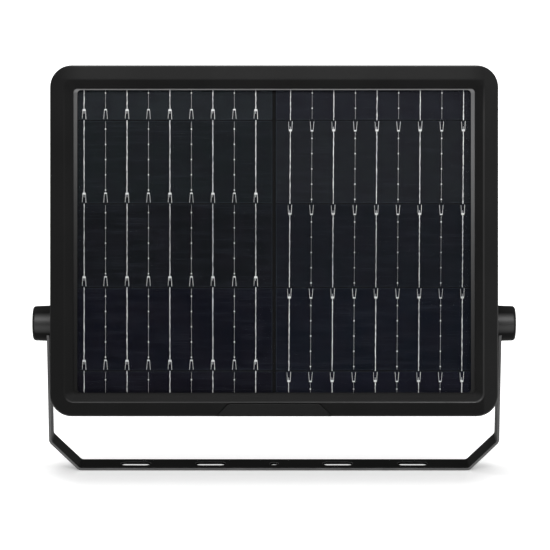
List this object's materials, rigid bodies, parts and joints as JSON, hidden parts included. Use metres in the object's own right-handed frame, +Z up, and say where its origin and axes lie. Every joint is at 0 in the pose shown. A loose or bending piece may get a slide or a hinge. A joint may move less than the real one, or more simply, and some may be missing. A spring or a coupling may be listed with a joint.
{
  "type": "solar flood light",
  "caption": "Flat flood light head with a solar panel on one face and an LED lamp on the other, tilting between the arms of a slotted U bracket.",
  "frame": {"origin": "centre of the round hole in the bracket's base, at the base's underside", "axes": "+X along the tilt axis, +Z up from the base, the solar panel facing -Y"},
  "size_m": [0.3944, 0.1074, 0.3312],
  "materials": {
    "frame_plastic": "satin",
    "chin_plastic": "satin",
    "housing_plastic": "satin",
    "cap_plastic": "satin",
    "gasket": "matte",
    "seal_rubber": "matte",
    "panel_glass": "polished",
    "cell_silicon": "satin",
    "ribbon_tin": "satin",
    "backsheet": "matte",
    "box_plastic": "matte",
    "clear_cover": "gloss",
    "tray_plastic": "satin",
    "board_aluminium": "satin",
    "led_phosphor": "gloss",
    "cell_can": "satin",
    "cradle_plastic": "matte",
    "tab_nickel": "satin",
    "board_laminate": "satin",
    "part_plastic": "satin",
    "screw_steel": "satin",
    "lead_red": "satin",
    "lead_white": "satin",
    "lead_yellow": "satin",
    "sensor_can": "satin",
    "lens_white": "satin",
    "button_red": "satin",
    "plunger_plastic": "satin",
    "switch_plastic": "satin",
    "light_pipe": "gloss",
    "insert_brass": "satin",
    "bolt_steel": "satin",
    "friction_rubber": "matte",
    "bracket_paint": "satin"
  },
  "bodies": {
    "bracket": {"mounting_bracket": "bracket_paint", "left_friction_washer": "friction_rubber", "right_friction_washer": "friction_rubber", "left_flat_washer": "bolt_steel", "right_flat_washer": "bolt_steel", "left_spring_washer": "bolt_steel", "right_spring_washer": "bolt_steel"},
    "head": {"solar_frame": "frame_plastic", "chin_cover": "chin_plastic", "panel_gasket": "gasket", "panel_glass": "panel_glass", "left_ribbons": "ribbon_tin", "right_ribbons": "ribbon_tin", "left_cell_string": "cell_silicon", "right_cell_string": "cell_silicon", "panel_backsheet": "backsheet", "panel_junction_box": "box_plastic", "lamp_housing": "housing_plastic", "housing_seal": "seal_rubber", "housing_screws": "screw_steel", "light_cover": "clear_cover", "light_cover_seal": "seal_rubber", "reflector_tray": "tray_plastic", "tray_screws": "screw_steel", "led_board": "board_aluminium", "led_chips": "led_phosphor", "battery_cell_1": "cell_can", "battery_cell_2": "cell_can", "battery_cell_3": "cell_can", "battery_cell_4": "cell_can", "battery_cradle": "cradle_plastic", "battery_tabs": "tab_nickel", "controller_board": "board_laminate", "controller_parts": "part_plastic", "board_screws": "screw_steel", "panel_leads": "lead_red", "battery_leads": "lead_red", "led_leads": "lead_white", "sensor_leads": "lead_yellow", "sensor_board": "board_laminate", "pir_element": "sensor_can", "pir_lens": "lens_white", "push_switch": "switch_plastic", "level_lights": "light_pipe", "left_pivot_insert": "insert_brass", "right_pivot_insert": "insert_brass"},
    "power_button": {"power_button": "button_red", "switch_plunger": "plunger_plastic"},
    "left_bolt": {"left_pivot_bolt": "bolt_steel"},
    "right_bolt": {"right_pivot_bolt": "bolt_steel"},
    "left_cap": {"left_pivot_cap": "cap_plastic"},
    "right_cap": {"right_pivot_cap": "cap_plastic"}
  },
  "joints": [
    {"name": "head_tilt", "type": "hinge", "parent": "bracket", "child": "head", "pos_m": [0, 0, 0.1215], "axis": [-1, 0, 0], "range_deg": [-103, 77]},
    {"name": "power_button_press", "type": "slide", "parent": "head", "child": "power_button", "axis": [0, -0.9744, 0.225], "range_m": [0, 0.0015], "stiffness_N_per_m": 300},
    {"name": "left_bolt_turn", "type": "hinge", "parent": "head", "child": "left_bolt", "pos_m": [-0.18, 0, 0.1215], "axis": [-1, 0, 0], "continuous": true},
    {"name": "right_bolt_turn", "type": "hinge", "parent": "head", "child": "right_bolt", "pos_m": [0.18, 0, 0.1215], "axis": [1, 0, 0], "continuous": true},
    {"name": "left_cap_pull", "type": "slide", "parent": "bracket", "child": "left_cap", "axis": [-1, 0, 0], "range_m": [0, 0.02]},
    {"name": "right_cap_pull", "type": "slide", "parent": "bracket", "child": "right_cap", "axis": [1, 0, 0], "range_m": [0, 0.02]}
  ]
}
